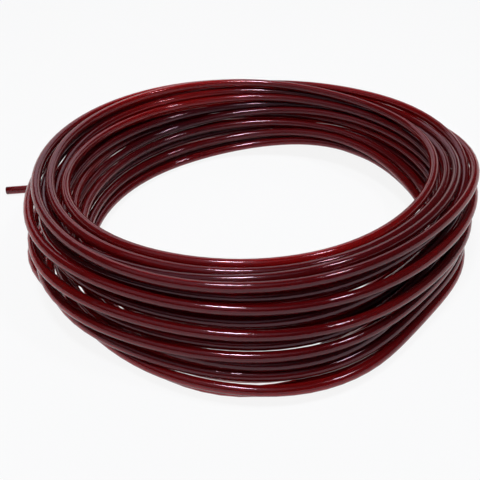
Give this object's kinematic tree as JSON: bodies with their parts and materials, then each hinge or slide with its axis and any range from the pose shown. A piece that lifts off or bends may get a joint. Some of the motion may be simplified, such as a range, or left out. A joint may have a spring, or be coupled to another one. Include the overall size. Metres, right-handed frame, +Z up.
{
  "type": "coiled air hose",
  "caption": "Plain flexible plastic air hose wound by hand into a loose round coil that lies flat, with two square-cut ends.",
  "frame": {"origin": "middle of the whole hose's outline on the floor that it lies on", "axes": "+Z up, the coil's axis; -Y the front, where the pile stands highest; the outer end points along -X"},
  "size_m": [0.454, 0.3972, 0.0846],
  "materials": {
    "hose": "glossy, translucent dark red"
  },
  "bodies": {
    "root": {"hose_coil": "hose", "outer_tail": "hose", "outer_end": "hose", "inner_end": "hose"}
  },
  "joints": []
}
